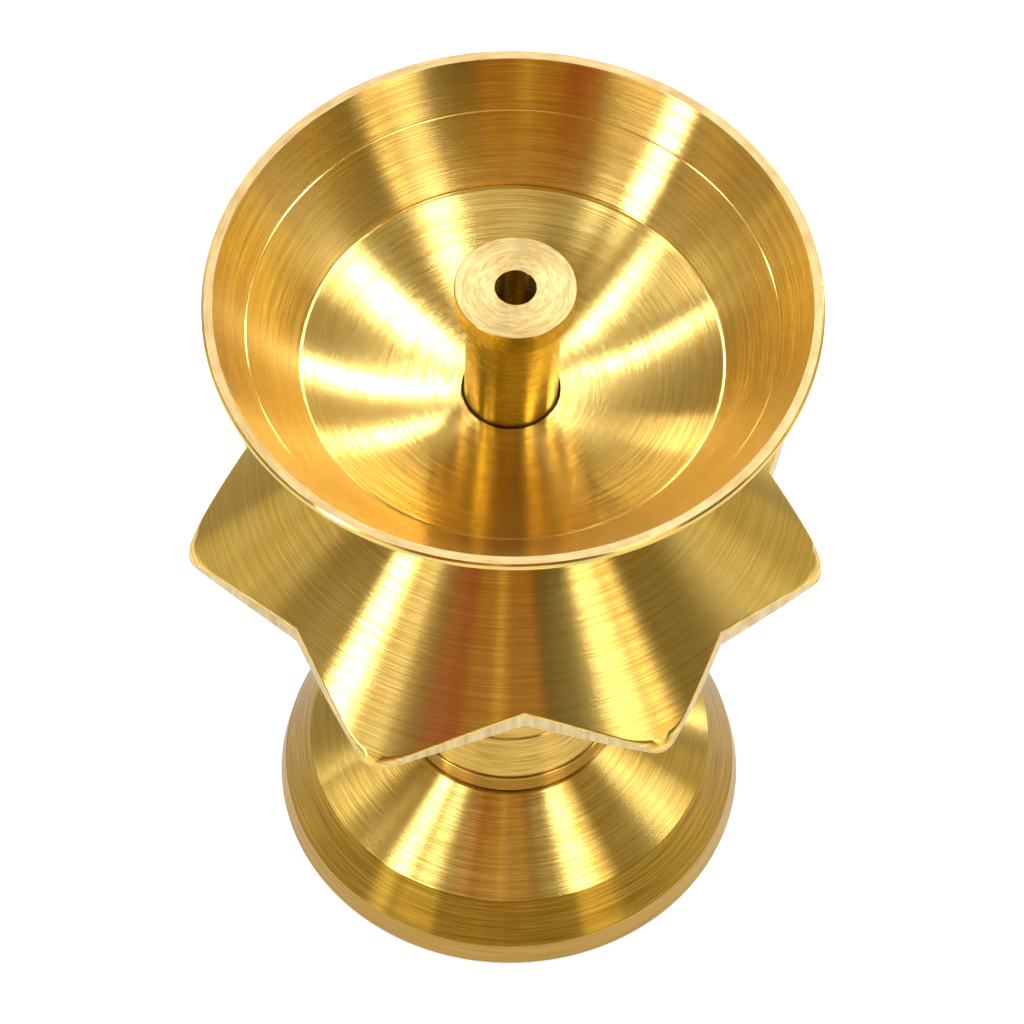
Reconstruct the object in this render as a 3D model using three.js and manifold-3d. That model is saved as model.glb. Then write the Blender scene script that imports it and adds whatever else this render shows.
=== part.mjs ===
// Brass diya stand: a turned oil bowl over an eight-pointed star collar, on a trumpet stem and a bell foot.
// Millimetres, +Z up. The origin is on the stand's axis, at the level of the table.
// Angles round the axis are in degrees from the front (-Y), positive towards +X.

import * as THREE from 'three';
import { mergeVertices } from 'three/addons/utils/BufferGeometryUtils.js';
import Module from 'manifold-3d';

const wasm = await Module();
wasm.setup();

// Space kept between pieces that rest on or pass through each other
const FIT_GAP = 0.3;

// Facets round the turned pieces
const LARGE_FACETS = 60;
const SMALL_FACETS = 40;

// The bowl's rim above the table. The stem's neck takes up what the other pieces leave of it.
const STAND_HEIGHT = 108.1;

// Foot: a nearly upright band, a steep bevel and a shallow cone up to the seat of the stem
const FOOT_RADIUS = 29.9;
const FOOT_BAND_RADIUS = 29.25;
const FOOT_BAND_HEIGHT = 3.4;
const FOOT_EDGE_BREAK = 0.35;
const FOOT_RIM_WIDTH = 3.2;
const FOOT_BEVEL_RADIUS = 25.9;
const FOOT_BEVEL_HEIGHT = 9.15;
const FOOT_HEIGHT = 16.9;
const FOOT_WALL = 3.2;
const FOOT_BOSS_RADIUS = 10.5;
const FOOT_BOSS_DEPTH = 6.8;

// Stem: a flange on the foot, a trumpet neck, a plain waist and a flared head under the star
const STEM_FLANGE_RADIUS = 14.1;
const STEM_FLANGE_HEIGHT = 2.95;
const STEM_FLANGE_LEDGE = 0.35;
const STEM_WAIST_RADIUS = 6.5;
const STEM_WAIST_LENGTH = 8.5;
const STEM_NECK_POWER = 1.4;
const STEM_NECK_STEPS = 8;
const STEM_HEAD_RADIUS = 12;
const STEM_HEAD_BAND = 1.4;
const STEM_FLARE_LENGTH = 9.5;
const STEM_FLARE_STEPS = 5;

// Star collar: a drooping cone, thick at its hub, with its edge sawn and filed into points by hand
const STAR_SEAT_RADIUS = 15.2;
const STAR_HUB_RADIUS = 12;
const STAR_HUB_HEIGHT = 14.7;
const STAR_TOP_SLOPE = 0.87;
const STAR_UNDER_SLOPE = 0.6;
const STAR_TIP_THICKNESS = 0.8;
const STAR_TIP_ROUND = 3.2;
const STAR_TIP_REACH = 42;
const STAR_NOTCH_REACH = 34.4;
const STAR_EDGE_BOW = 0.34;
// Angle of each point, and of the notch that follows it, and how far the hand that cut it strayed outwards
const STAR_POINTS = [
  { tip: [-78.5, -0.1], notch: [-49, 0.7] },
  { tip: [-23.7, 0.9], notch: [3, 0.7] },
  { tip: [27.8, -0.4], notch: [48.5, 0.5] },
  { tip: [75.4, -1], notch: [88.5, -2.1] },
  { tip: [119, -0.3], notch: [139, 0] },
  { tip: [160, 0], notch: [181, 0] },
  { tip: [201.5, 0], notch: [222, 0] },
  { tip: [242, -0.1], notch: [264, -1.4] },
];

// Bowl: a dished floor and two cones above it, with a flat lip, a seat on the star and a spigot through it
const BOWL_RADIUS = 38;
const BOWL_LIP_WIDTH = 1.08;
const BOWL_LIP_BREAK = 0.25;
const BOWL_BAND_HEIGHT = 0.7;
const BOWL_DEPTH = 18.5;
const BOWL_UPPER_LINE_RADIUS = 32.71;
const BOWL_UPPER_LINE_DEPTH = 5.3;
const BOWL_LOWER_LINE_RADIUS = 26.14;
const BOWL_LOWER_LINE_DEPTH = 12.55;
const BOWL_FLOOR_POWER = 2;
const BOWL_FLOOR_STEPS = 6;
const BOWL_WALL = 1.7;
const BOWL_FLOOR_WALL = 2.1;
const BOWL_UNDER_RADIUS = 20;
const BOWL_SEAT_RADIUS = 14;
const BOWL_SPIGOT_RADIUS = 8;
const BOWL_FLOOR_ABOVE_SEAT = 2.15;

// Wick holder: a capped post with a blind hole, standing loose in a socket and leaning a little to +X
const HOLDER_RADIUS = 5.8;
const HOLDER_HEIGHT = 21.9;
const HOLDER_CAP_RADIUS = 7.5;
const HOLDER_CAP_THICKNESS = 3.3;
const HOLDER_CAP_BREAK = 0.3;
const HOLDER_HOLE_RADIUS = 2.53;
const HOLDER_HOLE_DEPTH = 14;
const HOLDER_SOCKET_DEPTH = 6.4;
const HOLDER_LEAN = 1.2;
const HOLDER_FOOT_OFFSET = -0.19;

// Tie rod with its washer and nut, which clamp foot, stem, star and bowl together from below
const ROD_RADIUS = 3;
const ROD_ENGAGEMENT = 8;
const ROD_PROJECTION = 1;
const WASHER_RADIUS = 9;
const WASHER_THICKNESS = 1.2;
const NUT_ACROSS_FLATS = 10;
const NUT_HEIGHT = 5;

// Heights of the stack, from the rim down to the stem's head
const bowlRim = STAND_HEIGHT;
const bowlFloor = bowlRim - BOWL_DEPTH;
const bowlSeat = bowlFloor - BOWL_FLOOR_ABOVE_SEAT;
const starTop = bowlSeat - FIT_GAP;
const starBase = starTop - STAR_HUB_HEIGHT;
const stemTop = starBase - FIT_GAP;
const spigotBase = stemTop + 2 * FIT_GAP;
const rodTop = spigotBase + ROD_ENGAGEMENT;

// Heights of the stack, on the foot and up under it
const stemBase = FOOT_HEIGHT + FIT_GAP;
const bossFace = FOOT_HEIGHT - FOOT_BOSS_DEPTH;
const washerTop = bossFace - FIT_GAP;
const nutTop = washerTop - WASHER_THICKNESS - FIT_GAP;
const rodBase = nutTop - NUT_HEIGHT - ROD_PROJECTION;

const rodBore = ROD_RADIUS + FIT_GAP;
const spigotBore = BOWL_SPIGOT_RADIUS + FIT_GAP;
const socketRadius = HOLDER_RADIUS + FIT_GAP;

// Plain brass of each kind of surface, and the steel of the fasteners
function metal(color, roughness) {
  return new THREE.MeshStandardMaterial({ color, roughness, metalness: 1 });
}

const turnedBrass = metal(0xc9a040, 0.3);
const burnishedBrass = metal(0xb98a2c, 0.32);
const holderBrass = metal(0xc39a45, 0.34);
const zincSteel = metal(0xb4b6b8, 0.4);

// A solid of revolution. The profile is a list of [radius, height], anticlockwise with +Z up on the page.
// One that does not start on the axis is closed on itself and leaves a bore.
function turned(profile, facets) {
  const points = profile.map(([radius, height]) => new THREE.Vector2(radius, height));
  const startsOnAxis = profile[0][0] === 0;
  if (!startsOnAxis) points.push(points[0].clone());
  return new THREE.LatheGeometry(points, facets).rotateX(Math.PI / 2);
}

function toSolid(geometry) {
  const bare = geometry.clone();
  bare.deleteAttribute('normal');
  bare.deleteAttribute('uv');
  const merged = mergeVertices(bare, 1e-5);
  return new wasm.Manifold(new wasm.Mesh({
    numProp: 3,
    vertProperties: new Float32Array(merged.attributes.position.array),
    triVerts: new Uint32Array(merged.index.array),
  }));
}

function toGeometry(solid) {
  const mesh = solid.getMesh();
  const geometry = new THREE.BufferGeometry();
  geometry.setAttribute('position', new THREE.BufferAttribute(mesh.vertProperties, 3));
  geometry.setIndex(new THREE.BufferAttribute(mesh.triVerts, 1));
  geometry.computeVertexNormals();
  return geometry;
}

function onPlan(angle, reach) {
  const turn = THREE.MathUtils.degToRad(angle);
  return new THREE.Vector2(reach * Math.sin(turn), -reach * Math.cos(turn));
}

// Height at a radius along the straight flank between two [radius, height] points
function onFlank([radiusA, heightA], [radiusB, heightB], radius) {
  return heightA + (heightB - heightA) * (radius - radiusA) / (radiusB - radiusA);
}

// The point beside a profile's point a, on the right of its flank from a to b and square to it
function beside(a, b, distance) {
  const run = Math.hypot(b[0] - a[0], b[1] - a[1]);
  return [
    a[0] + distance * (b[1] - a[1]) / run,
    a[1] - distance * (b[0] - a[0]) / run,
  ];
}

function footGeometry() {
  const band = [FOOT_BAND_RADIUS, FOOT_BAND_HEIGHT];
  const bevel = [FOOT_BEVEL_RADIUS, FOOT_BEVEL_HEIGHT];
  const shoulder = [STEM_FLANGE_RADIUS + FIT_GAP, FOOT_HEIGHT];
  const innerRadius = FOOT_RADIUS - FOOT_RIM_WIDTH;
  const innerBand = [innerRadius, onFlank(band, bevel, innerRadius) - FOOT_WALL];
  const innerBevel = [FOOT_BEVEL_RADIUS, FOOT_BEVEL_HEIGHT - FOOT_WALL];
  const innerTop = [FOOT_BOSS_RADIUS + FOOT_WALL, FOOT_HEIGHT - FOOT_WALL];
  return turned([
    [innerRadius, 0],
    [FOOT_RADIUS - FOOT_EDGE_BREAK, 0],
    [FOOT_RADIUS, FOOT_EDGE_BREAK],
    band,
    bevel,
    shoulder,
    [rodBore, FOOT_HEIGHT],
    [rodBore, bossFace],
    [FOOT_BOSS_RADIUS, bossFace],
    [FOOT_BOSS_RADIUS, innerTop[1]],
    innerTop,
    innerBevel,
    innerBand,
  ], LARGE_FACETS);
}

function stemGeometry() {
  const flangeTop = stemBase + STEM_FLANGE_HEIGHT;
  const headBase = stemTop - STEM_HEAD_BAND;
  const neckTop = headBase - STEM_FLARE_LENGTH - STEM_WAIST_LENGTH;
  const neckRadius = STEM_FLANGE_RADIUS - STEM_FLANGE_LEDGE;
  const profile = [
    [rodBore, stemBase],
    [STEM_FLANGE_RADIUS, stemBase],
    [STEM_FLANGE_RADIUS, flangeTop],
  ];
  for (let i = 0; i <= STEM_NECK_STEPS; i++) {
    const along = i / STEM_NECK_STEPS;
    const narrowing = (1 - along) ** STEM_NECK_POWER;
    profile.push([
      STEM_WAIST_RADIUS + (neckRadius - STEM_WAIST_RADIUS) * narrowing,
      flangeTop + along * (neckTop - flangeTop),
    ]);
  }
  for (let i = 0; i <= STEM_FLARE_STEPS; i++) {
    const turn = (i / STEM_FLARE_STEPS) * Math.PI / 2;
    profile.push([
      STEM_HEAD_RADIUS - (STEM_HEAD_RADIUS - STEM_WAIST_RADIUS) * Math.cos(turn),
      headBase - STEM_FLARE_LENGTH * (1 - Math.sin(turn)),
    ]);
  }
  profile.push([STEM_HEAD_RADIUS, stemTop], [rodBore, stemTop]);
  return turned(profile, SMALL_FACETS);
}

// Where the ends of an edge of the star's plan point, so that the edge bows outwards between them
function bowedMiddle(corner, notch) {
  const middle = corner.clone().lerp(notch, 0.5);
  return middle.setLength(middle.length() + 2 * STAR_EDGE_BOW);
}

// The star's plan. Its points are rounded, and its notches are left sharp.
function starOutline() {
  const shape = new THREE.Shape();
  const corners = STAR_POINTS.map(({ tip: [angle, stray] }) => onPlan(angle, STAR_TIP_REACH + stray));
  const notches = STAR_POINTS.map(({ notch: [angle, stray] }) => onPlan(angle, STAR_NOTCH_REACH + stray));
  corners.forEach((corner, i) => {
    const before = bowedMiddle(corner, notches.at(i - 1));
    const after = bowedMiddle(corner, notches[i]);
    const inward = before.clone().sub(corner).normalize();
    const outward = after.clone().sub(corner).normalize();
    const halfAngle = Math.acos(inward.dot(outward)) / 2;
    const trim = STAR_TIP_ROUND / Math.tan(halfAngle);
    const start = corner.clone().addScaledVector(inward, trim);
    const end = corner.clone().addScaledVector(outward, trim);
    const centre = corner.clone().addScaledVector(
      inward.clone().add(outward).normalize(),
      STAR_TIP_ROUND / Math.sin(halfAngle),
    );
    if (i === 0) shape.moveTo(start.x, start.y);
    else shape.quadraticCurveTo(before.x, before.y, start.x, start.y);
    shape.absarc(
      centre.x,
      centre.y,
      STAR_TIP_ROUND,
      Math.atan2(start.y - centre.y, start.x - centre.x),
      Math.atan2(end.y - centre.y, end.x - centre.x),
      false,
    );
    shape.quadraticCurveTo(after.x, after.y, notches[i].x, notches[i].y);
  });
  const last = bowedMiddle(corners[0], notches.at(-1));
  const first = shape.curves[0].getPoint(0);
  shape.quadraticCurveTo(last.x, last.y, first.x, first.y);
  return shape;
}

function starGeometry() {
  const reach = STAR_TIP_REACH + Math.max(...STAR_POINTS.map(({ tip: [, stray] }) => stray));
  // The blank is turned a little larger than the longest point, and then cut to the outline
  const blankRadius = reach + STAR_TIP_ROUND;
  const topAt = (radius) => starTop - STAR_TOP_SLOPE * (radius - STAR_SEAT_RADIUS);
  const underAt = (radius) => topAt(reach) - STAR_TIP_THICKNESS + STAR_UNDER_SLOPE * (reach - radius);
  const blank = toSolid(turned([
    [spigotBore, starBase],
    [STAR_HUB_RADIUS, starBase],
    [STAR_HUB_RADIUS, underAt(STAR_HUB_RADIUS)],
    [blankRadius, underAt(blankRadius)],
    [blankRadius, topAt(blankRadius)],
    [STAR_SEAT_RADIUS, starTop],
    [spigotBore, starTop],
  ], LARGE_FACETS));
  const lowest = underAt(blankRadius);
  const cutter = new THREE.ExtrudeGeometry(starOutline(), {
    depth: starTop - lowest + 2 * FIT_GAP,
    bevelEnabled: false,
    curveSegments: 5,
  }).translate(0, 0, lowest - FIT_GAP);
  return toGeometry(blank.intersect(toSolid(cutter)));
}

// The point of the bowl's floor at a radius: level at the holder and steeper outwards, up to the lower line
function onFloor(radius) {
  const share = (radius - HOLDER_RADIUS) / (BOWL_LOWER_LINE_RADIUS - HOLDER_RADIUS);
  return [radius, bowlFloor + (BOWL_DEPTH - BOWL_LOWER_LINE_DEPTH) * share ** BOWL_FLOOR_POWER];
}

function bowlGeometry() {
  const lipInner = BOWL_RADIUS - BOWL_LIP_BREAK - BOWL_LIP_WIDTH;
  const inside = [
    [lipInner, bowlRim],
    [BOWL_UPPER_LINE_RADIUS, bowlRim - BOWL_UPPER_LINE_DEPTH],
  ];
  for (let i = BOWL_FLOOR_STEPS; i >= 0; i--) {
    const share = i / BOWL_FLOOR_STEPS;
    inside.push(onFloor(HOLDER_RADIUS + (BOWL_LOWER_LINE_RADIUS - HOLDER_RADIUS) * share));
  }
  const bandFoot = [BOWL_RADIUS, bowlRim - BOWL_LIP_BREAK - BOWL_BAND_HEIGHT];
  const underUpper = beside(inside[1], inside[0], BOWL_WALL);
  const underLower = beside(inside[2], inside[1], BOWL_FLOOR_WALL);
  const [underFloor, underSeat] = [BOWL_UNDER_RADIUS, BOWL_SEAT_RADIUS].map(onFloor)
    .map(([radius, height]) => [radius, height - BOWL_FLOOR_WALL]);
  const blank = toSolid(turned([
    [0, spigotBase],
    [BOWL_SPIGOT_RADIUS, spigotBase],
    [BOWL_SPIGOT_RADIUS, bowlSeat],
    [BOWL_SEAT_RADIUS, bowlSeat],
    underSeat,
    underFloor,
    underLower,
    underUpper,
    bandFoot,
    [BOWL_RADIUS, bowlRim - BOWL_LIP_BREAK],
    [BOWL_RADIUS - BOWL_LIP_BREAK, bowlRim],
    ...inside,
    [0, bowlFloor],
  ], LARGE_FACETS));
  const socket = toSolid(standInSocket(turned([
    [0, -HOLDER_SOCKET_DEPTH],
    [socketRadius, -HOLDER_SOCKET_DEPTH],
    [socketRadius, HOLDER_CAP_THICKNESS],
    [0, HOLDER_CAP_THICKNESS],
  ], SMALL_FACETS)));
  const rodHole = toSolid(turned([
    [0, spigotBase - FIT_GAP],
    [rodBore, spigotBase - FIT_GAP],
    [rodBore, rodTop + FIT_GAP],
    [0, rodTop + FIT_GAP],
  ], SMALL_FACETS));
  return toGeometry(blank.subtract(socket).subtract(rodHole));
}

// Stands a shape made on its own axis in the socket: it leans towards +X about the level of the floor
function standInSocket(geometry) {
  return geometry
    .rotateY(THREE.MathUtils.degToRad(HOLDER_LEAN))
    .translate(HOLDER_FOOT_OFFSET, 0, bowlFloor);
}

function holderGeometry() {
  const foot = FIT_GAP - HOLDER_SOCKET_DEPTH;
  const capBase = HOLDER_HEIGHT - HOLDER_CAP_THICKNESS;
  const holeFloor = HOLDER_HEIGHT - HOLDER_HOLE_DEPTH;
  return standInSocket(turned([
    [0, foot],
    [HOLDER_RADIUS, foot],
    [HOLDER_RADIUS, capBase],
    [HOLDER_CAP_RADIUS, capBase],
    [HOLDER_CAP_RADIUS, HOLDER_HEIGHT - HOLDER_CAP_BREAK],
    [HOLDER_CAP_RADIUS - HOLDER_CAP_BREAK, HOLDER_HEIGHT],
    [HOLDER_HOLE_RADIUS, HOLDER_HEIGHT],
    [HOLDER_HOLE_RADIUS, holeFloor],
    [0, holeFloor],
  ], SMALL_FACETS));
}

function rodGeometry() {
  return new THREE.CylinderGeometry(ROD_RADIUS, ROD_RADIUS, rodTop - rodBase, SMALL_FACETS)
    .rotateX(Math.PI / 2)
    .translate(0, 0, (rodTop + rodBase) / 2);
}

function washerGeometry() {
  return turned([
    [rodBore, washerTop - WASHER_THICKNESS],
    [WASHER_RADIUS, washerTop - WASHER_THICKNESS],
    [WASHER_RADIUS, washerTop],
    [rodBore, washerTop],
  ], SMALL_FACETS);
}

function nutGeometry() {
  const corner = NUT_ACROSS_FLATS / Math.sqrt(3);
  const hexagon = new THREE.Shape();
  for (let i = 0; i < 6; i++) {
    const turn = i * Math.PI / 3;
    if (i === 0) hexagon.moveTo(corner, 0);
    else hexagon.lineTo(corner * Math.cos(turn), corner * Math.sin(turn));
  }
  hexagon.closePath();
  const hole = new THREE.Path();
  hole.absarc(0, 0, rodBore, 0, 2 * Math.PI, true);
  hexagon.holes.push(hole);
  return new THREE.ExtrudeGeometry(hexagon, {
    depth: NUT_HEIGHT,
    bevelEnabled: false,
    curveSegments: SMALL_FACETS / 2,
  }).translate(0, 0, nutTop - NUT_HEIGHT);
}

const stand = new THREE.Group();

function add(name, geometry, material) {
  const mesh = new THREE.Mesh(geometry, material);
  mesh.name = name;
  stand.add(mesh);
}

add('foot', footGeometry(), burnishedBrass);
add('stem', stemGeometry(), burnishedBrass);
add('star_collar', starGeometry(), turnedBrass);
add('bowl', bowlGeometry(), turnedBrass);
add('wick_holder', holderGeometry(), holderBrass);
add('tie_rod', rodGeometry(), zincSteel);
add('foot_washer', washerGeometry(), zincSteel);
add('foot_nut', nutGeometry(), zincSteel);

export default stand;
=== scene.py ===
"""A brass diya stand: an oil bowl on a star collar, a trumpet stem and a bell foot.

Every piece is turned or cut from sizes in millimetres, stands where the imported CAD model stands, and takes
a finish named for how the real surface was made. The stand's axis is the Z axis. Angles round it are in
degrees from the front (-Y), positive towards +X.
"""

import logging
import math
from dataclasses import dataclass
from enum import Enum

import bpy
import numpy as np
from mathutils import Matrix, Vector


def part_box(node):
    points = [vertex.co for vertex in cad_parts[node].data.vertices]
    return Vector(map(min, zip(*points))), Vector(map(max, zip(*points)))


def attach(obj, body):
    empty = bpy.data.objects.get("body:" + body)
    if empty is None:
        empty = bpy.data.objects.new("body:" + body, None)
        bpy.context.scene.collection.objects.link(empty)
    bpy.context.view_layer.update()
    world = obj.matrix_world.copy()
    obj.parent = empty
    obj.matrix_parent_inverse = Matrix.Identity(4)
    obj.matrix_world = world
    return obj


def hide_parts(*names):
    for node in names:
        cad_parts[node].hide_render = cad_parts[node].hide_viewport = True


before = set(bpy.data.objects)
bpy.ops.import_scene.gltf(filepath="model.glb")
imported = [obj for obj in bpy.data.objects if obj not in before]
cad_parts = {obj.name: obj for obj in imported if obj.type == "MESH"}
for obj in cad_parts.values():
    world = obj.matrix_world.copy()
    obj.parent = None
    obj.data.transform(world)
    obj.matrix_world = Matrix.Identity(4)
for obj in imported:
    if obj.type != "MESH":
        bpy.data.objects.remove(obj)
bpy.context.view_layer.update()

MM = 0.001
LOG = logging.getLogger("diya_stand")
Socket = bpy.types.NodeSocket


def low_of(node: str) -> float:
    """The height of a CAD node's lowest point, in millimetres."""
    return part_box(node)[0].z / MM


def high_of(node: str) -> float:
    """The height of a CAD node's highest point, in millimetres."""
    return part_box(node)[1].z / MM


def widest_of(node: str) -> float:
    """The radius of a turned CAD node at its widest, in millimetres."""
    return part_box(node)[1].x / MM


def linear(colour: str) -> tuple[float, float, float, float]:
    """Turns an sRGB hex colour to a linear one.

    Args:
        colour: Six hex digits after a hash.

    Returns:
        Red, green, blue and an alpha of one.
    """
    parts = [int(colour[i:i + 2], 16) / 255 for i in (1, 3, 5)]
    red, green, blue = (p / 12.92 if p <= 0.04045 else ((p + 0.055) / 1.055) ** 2.4 for p in parts)
    return red, green, blue, 1.0


def add_node(
    tree: bpy.types.NodeTree,
    kind: str,
    settings: dict | None = None,
    links: dict | None = None,
) -> bpy.types.Node:
    """Adds a node to a tree, with its settings and links.

    Args:
        tree: The material's or world's node tree.
        kind: Blender's name for the kind of node.
        settings: The node's own properties, and its inputs by name or number, with their values.
        links: Its inputs by name or number, with the output sockets that feed them.

    Returns:
        The new node.
    """
    node = tree.nodes.new(kind)
    for key, value in (settings or {}).items():
        if isinstance(key, str) and hasattr(node, key):
            setattr(node, key, value)
        else:
            node.inputs[key].default_value = value
    for key, socket in (links or {}).items():
        tree.links.new(socket, node.inputs[key])
    return node


def new_material(name: str) -> bpy.types.Material:
    """Makes a material with an empty node tree.

    Args:
        name: Its name.

    Returns:
        The material.
    """
    material = bpy.data.materials.new(name)
    material.use_nodes = True
    material.node_tree.nodes.clear()
    return material


def add_object(name: str, data: bpy.types.ID) -> bpy.types.Object:
    """Makes an object and links it to the scene.

    Args:
        name: Its name.
        data: Its mesh, light or camera.

    Returns:
        The object.
    """
    thing = bpy.data.objects.new(name, data)
    bpy.context.scene.collection.objects.link(thing)
    return thing


class Slope(Enum):
    """Which way a turned surface runs as it goes outwards, so that its lines follow it."""

    RISING = 1.0
    FALLING = -1.0


@dataclass(frozen=True)
class Lean:
    """The tilt of the wick holder, which stands a little crooked in its socket.

    Attributes:
        degrees: Tilt from the stand's axis towards +X.
        offset: Where the holder's own axis meets the level of the bowl's floor, in millimetres along X.
        height: That level above the table, in millimetres.
    """

    degrees: float
    offset: float
    height: float

    def matrix(self) -> Matrix:
        """The move from the holder's own axis to its place in the stand."""
        tilt = Matrix.Rotation(math.radians(self.degrees), 4, "Y")
        return Matrix.Translation((self.offset * MM, 0, self.height * MM)) @ tilt

    def shift(self, height: float) -> float:
        """How far the leaning axis stands from the stand's axis at a height above the table."""
        return self.offset + (height - self.height) * math.tan(math.radians(self.degrees))


@dataclass(frozen=True)
class Corner:
    """One corner of a turned profile, in millimetres.

    Attributes:
        radius: Distance from the axis.
        height: Height above the table.
        ease: Radius that the corner is broken to.
        finish: Number of the finish on the flank from this corner to the next.
        soft: Whether the corner is one point of a smooth curve.
        shift: How far its ring stands off the axis towards +X.
    """

    radius: float
    height: float
    ease: float = 0.0
    finish: int = 0
    soft: bool = False
    shift: float = 0.0


@dataclass(frozen=True)
class ProfilePoint:
    """A point of a profile after its corners are eased, with the flanks' normals on both sides of it."""

    place: np.ndarray
    before: np.ndarray
    after: np.ndarray
    finish: int
    shift: float


def unit(vector: np.ndarray) -> np.ndarray:
    """The vectors of an array, each brought to length one."""
    return vector / np.linalg.norm(vector, axis=-1, keepdims=True)


def lifted(plan: np.ndarray, heights: float | np.ndarray) -> np.ndarray:
    """The points of a plan at their heights."""
    return np.column_stack([plan, np.broadcast_to(heights, len(plan))])


def fanned(normals: np.ndarray) -> np.ndarray:
    """The normals of a ring's points, at the left and right ends of each face."""
    return np.stack([normals, np.roll(normals, -1, axis=0)], axis=1)


def coned(azimuth: np.ndarray, outward: float, upward: float) -> np.ndarray:
    """Normals that lean outwards and upwards by so much, at the left and right ends of each face."""
    return fanned(lifted(azimuth * outward, upward))


def beside(start: Corner, end: Corner, distance: float) -> tuple[float, float]:
    """Finds the point beside a flank's start, square to the flank and on the right of it.

    Args:
        start: The corner where the flank starts.
        end: The corner where it ends.
        distance: How far beside it, in millimetres.

    Returns:
        The point's radius and height.
    """
    run, rise = end.radius - start.radius, end.height - start.height
    length = math.hypot(run, rise)
    return start.radius + distance * rise / length, start.height - distance * run / length


def on_flank(start: Corner, end: Corner, radius: float) -> float:
    """The height at a radius on the straight flank between two corners."""
    return start.height + (end.height - start.height) * (radius - start.radius) / (end.radius - start.radius)


def hollowed(start: Corner, end: Corner, sag: float, steps: int = 10) -> list[Corner]:
    """Hollows a flank, as a hand-held tool leaves it.

    Args:
        start: The corner where it starts.
        end: The corner where it ends.
        sag: How deep it is hollowed in its middle, in millimetres.
        steps: Number of straight pieces that draw it.

    Returns:
        The soft corners between the start and the end.
    """
    result = []
    for k in range(1, steps):
        share = k / steps
        middle = Corner(
            start.radius + (end.radius - start.radius) * share,
            start.height + (end.height - start.height) * share,
        )
        place = beside(middle, end, -4 * sag * share * (1 - share))
        result.append(Corner(*place, soft=True))
    return result


def eased(corners: list[Corner], closed: bool) -> list[ProfilePoint]:
    """Rounds a profile's corners and works out the normals along it.

    Args:
        corners: The profile, anticlockwise with the radius to the right and the height upwards.
        closed: Whether the last corner joins the first; otherwise both lie on the axis.

    Returns:
        The points of the finished profile.
    """
    # Bends in radians under the least one stay as they are, and an arc takes at most a share of a flank
    least_bend, most_trim = 0.02, 0.45
    arc_step = math.radians(15)
    places = [np.array([c.radius, c.height]) for c in corners]
    count = len(corners)
    flanks = [places[(i + 1) % count] - places[i] for i in range(count if closed else count - 1)]
    normals = [unit(np.array([f[1], -f[0]])) for f in flanks]
    result = []
    for i, corner in enumerate(corners):
        has_before, has_after = closed or i > 0, closed or i < count - 1
        after = normals[i] if has_after else normals[i - 1]
        before = normals[i - 1] if has_before else after
        last_finish = corners[i - 1].finish
        bend = math.atan2(before[0] * after[1] - before[1] * after[0], float(before @ after))
        if corner.ease > 0 and has_before and has_after and abs(bend) > least_bend:
            shortest = min(np.linalg.norm(flanks[i - 1]), np.linalg.norm(flanks[i]))
            trim = min(corner.ease * math.tan(abs(bend) / 2), most_trim * shortest)
            radius = trim / math.tan(abs(bend) / 2) * math.copysign(1, bend)
            start = places[i] - unit(flanks[i - 1]) * trim
            centre = start - before * radius
            steps = max(3, math.ceil(abs(bend) / arc_step))
            for k in range(steps + 1):
                turn = bend * k / steps
                swing = np.array([[math.cos(turn), -math.sin(turn)], [math.sin(turn), math.cos(turn)]])
                normal = swing @ before
                finish = corner.finish if k >= steps / 2 else last_finish
                place = centre + normal * radius
                result.append(ProfilePoint(place, normal, normal, finish, corner.shift))
        else:
            if corner.soft:
                before = after = unit(before + after)
            result.append(ProfilePoint(places[i], before, after, corner.finish, corner.shift))
    return result


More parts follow.
